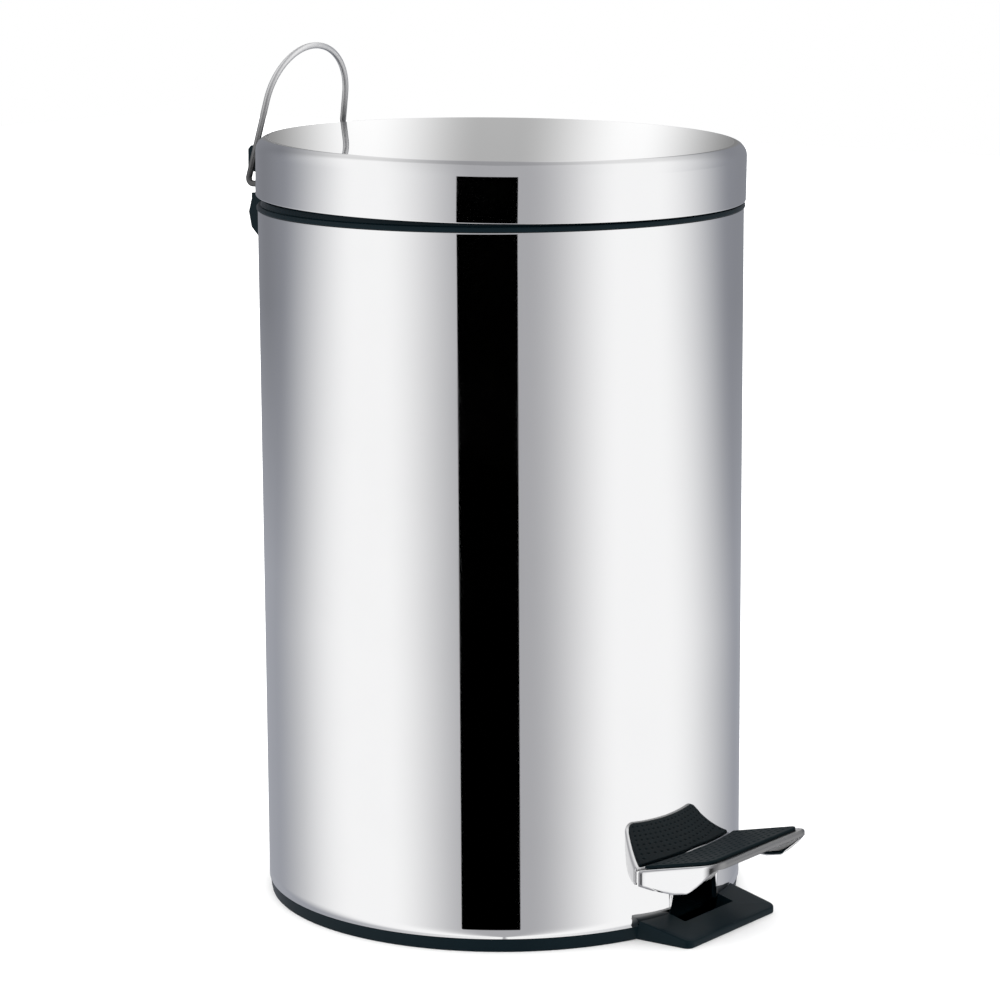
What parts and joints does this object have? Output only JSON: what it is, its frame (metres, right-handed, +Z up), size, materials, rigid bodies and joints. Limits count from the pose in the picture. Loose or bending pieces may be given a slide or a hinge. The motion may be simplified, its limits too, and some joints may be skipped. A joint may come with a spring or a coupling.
{
  "type": "pedal bin",
  "caption": "Round steel pedal bin with a hinged lid, a foot pedal linkage, a carry handle and a lift-out bucket.",
  "frame": {"origin": "centre of the body on the underside of the base, on the floor", "axes": "+Z up; the pedal points towards -Y and the lid hinge is at +Y; +X is along the hinge line"},
  "size_m": [0.252, 0.3118, 0.4406],
  "materials": {
    "polished_steel": "mirror-polished stainless steel",
    "black_plastic": "satin moulded plastic",
    "bucket_plastic": "fine textured moulded plastic",
    "black_rubber": "moulded rubber",
    "plated_steel": "zinc-plated pressed steel",
    "fastener_steel": "plated steel fasteners"
  },
  "bodies": {
    "root": {"anti_slip_feet": "black_rubber", "base_moulding": "black_plastic", "body_hinge_leaf": "black_plastic", "body_hinge_screws": "fastener_steel", "body_shell": "polished_steel", "bracket_screws": "fastener_steel", "hinge_backing_plate": "plated_steel", "hinge_pin": "fastener_steel", "inner_bucket": "bucket_plastic", "lever_pivot_pin": "fastener_steel", "lower_rod_guide": "black_plastic", "pivot_brackets": "plated_steel", "pivot_clips": "fastener_steel", "rim_ring": "black_plastic", "upper_rod_guide": "black_plastic"},
    "lid": {"lid_shell": "polished_steel", "lid_inner_ring": "black_plastic", "lid_bumpers": "black_rubber", "lid_hinge_leaf": "black_plastic", "lid_clamp_plate": "plated_steel", "lid_lift_tab": "plated_steel", "lid_rivets": "fastener_steel"},
    "handle": {"carry_handle": "polished_steel"},
    "pedal": {"pedal_lever": "plated_steel", "pedal_arm": "polished_steel", "pedal_plate": "polished_steel", "pedal_mat": "black_rubber", "pedal_rivets": "fastener_steel"},
    "rod": {"push_rod": "plated_steel", "rod_foot": "black_plastic", "rod_cap": "black_plastic"},
    "bail": {"bucket_bail": "plated_steel", "bail_grip": "black_plastic"}
  },
  "joints": [
    {"name": "lid_hinge", "type": "hinge", "parent": "root", "child": "lid", "pos_m": [0, 0.134, 0.3675], "axis": [-1, 0, 0], "range_deg": [0, 70]},
    {"name": "handle_swing", "type": "hinge", "parent": "lid", "child": "handle", "pos_m": [0, 0.134, 0.3675], "axis": [-1, 0, 0], "range_deg": [0, 45]},
    {"name": "pedal_press", "type": "hinge", "parent": "root", "child": "pedal", "pos_m": [0, -0.025, 0.0075], "axis": [1, 0, 0], "range_deg": [0, 7.46]},
    {"name": "rod_slide", "type": "slide", "parent": "root", "child": "rod", "axis": [0, 0, 1], "range_m": [0, 0.01896]},
    {"name": "bail_swing", "type": "hinge", "parent": "root", "child": "bail", "pos_m": [0, 0, 0.3569], "axis": [-1, 0, 0], "range_deg": [0, 15]}
  ],
  "couplings": [
    {"joint": "pedal_press", "follows": "lid_hinge", "ratio": 0.10635},
    {"joint": "rod_slide", "follows": "lid_hinge", "m_per_rad": 0.015474}
  ]
}
